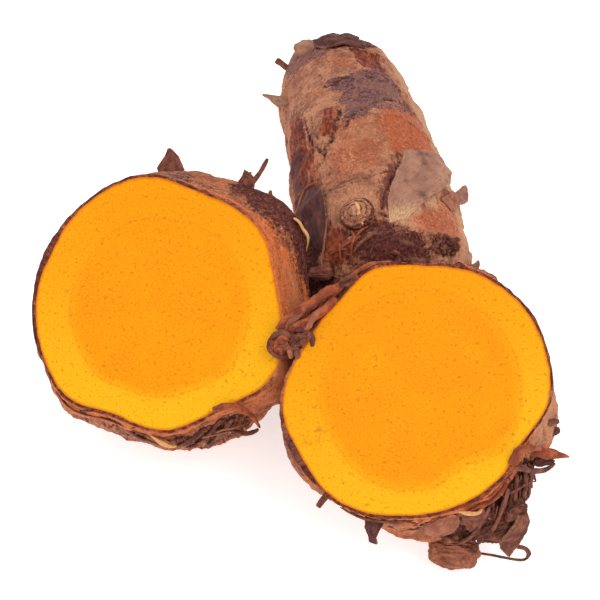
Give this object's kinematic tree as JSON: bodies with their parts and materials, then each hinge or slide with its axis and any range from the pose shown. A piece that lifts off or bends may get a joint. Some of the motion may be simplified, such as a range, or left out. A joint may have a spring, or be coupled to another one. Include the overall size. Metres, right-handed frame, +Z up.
{
  "type": "turmeric root",
  "caption": "Branched turmeric rhizome lying on its side: two thick branches cut across to show orange flesh, one uncut ringed finger, dried scale leaves and root stubs.",
  "frame": {"origin": "middle of the plan, on the surface that the rhizome lies on", "axes": "+Z up, +Y from the cut stubs towards the tip of the uncut finger, +X towards the right-hand cut stub"},
  "size_m": [0.064, 0.0828, 0.028],
  "materials": {
    "skin": "matte",
    "cut_flesh": "satin",
    "papery_scale": "matte",
    "rootlet": "matte"
  },
  "bodies": {
    "root": {"rhizome": "skin"}
  },
  "joints": []
}
